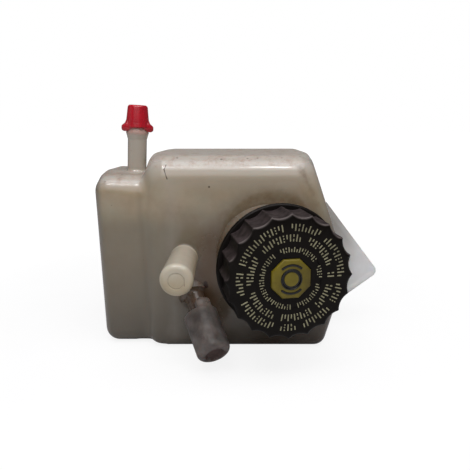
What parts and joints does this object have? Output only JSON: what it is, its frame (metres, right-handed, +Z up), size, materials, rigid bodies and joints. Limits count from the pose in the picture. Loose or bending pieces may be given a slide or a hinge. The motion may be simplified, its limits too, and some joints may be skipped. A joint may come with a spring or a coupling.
{
  "type": "brake fluid reservoir",
  "caption": "Hose-fed brake fluid reservoir: stepped moulded tank with a screw-capped filler neck, a strainer, capped hose nipples and a fixing tab.",
  "frame": {"origin": "on the flat foot of the tank, in the parting plane of the mould", "axes": "+X to the right along the front face, +Y back, +Z up; the filler cap looks towards -Y"},
  "size_m": [0.143, 0.0995, 0.1173],
  "materials": {
    "tank_plastic": "natural milky plastic, smooth, yellowed, with dirt in the creases",
    "strainer_plastic": "natural plastic, fine moulded windows",
    "diaphragm_rubber": "soft black rubber",
    "cap_plastic": "black plastic, satin, with pale printed marks",
    "insert_plastic": "dull yellow plastic with dark grooves",
    "red_plastic": "soft red plastic",
    "white_rubber": "white soft rubber, slightly shiny",
    "clear_plastic": "cloudy clear plastic"
  },
  "bodies": {
    "tank": {"reservoir_body": "tank_plastic", "neck_strainer": "strainer_plastic"},
    "seal_set": {"cap_diaphragm": "diaphragm_rubber"},
    "screw_cap": {"filler_cap": "cap_plastic", "cap_insert": "insert_plastic"},
    "vent_plug": {"vent_cap": "red_plastic"},
    "front_plug": {"front_nipple_cap": "white_rubber"},
    "lower_plug": {"lower_nipple_cap": "clear_plastic"}
  },
  "joints": [
    {"name": "cap_rise", "type": "slide", "parent": "tank", "child": "seal_set", "axis": [0.1908, -0.9816, 0], "range_m": [0, 0.01]},
    {"name": "cap_turn", "type": "hinge", "parent": "seal_set", "child": "screw_cap", "pos_m": [0.0298, -0.031, 0.0478], "axis": [0.1908, -0.9816, 0], "range_deg": [0, 899]},
    {"name": "vent_cap_pull", "type": "slide", "parent": "tank", "child": "vent_plug", "axis": [0.061, 0, 0.9981], "range_m": [0, 0.014]},
    {"name": "front_cap_pull", "type": "slide", "parent": "tank", "child": "front_plug", "axis": [0, -1, 0], "range_m": [0, 0.031]},
    {"name": "lower_cap_pull", "type": "slide", "parent": "tank", "child": "lower_plug", "axis": [0.3394, -0.7731, -0.5358], "range_m": [0, 0.018]}
  ],
  "couplings": [
    {"joint": "cap_rise", "follows": "cap_turn", "m_per_rad": 0.00063662}
  ]
}
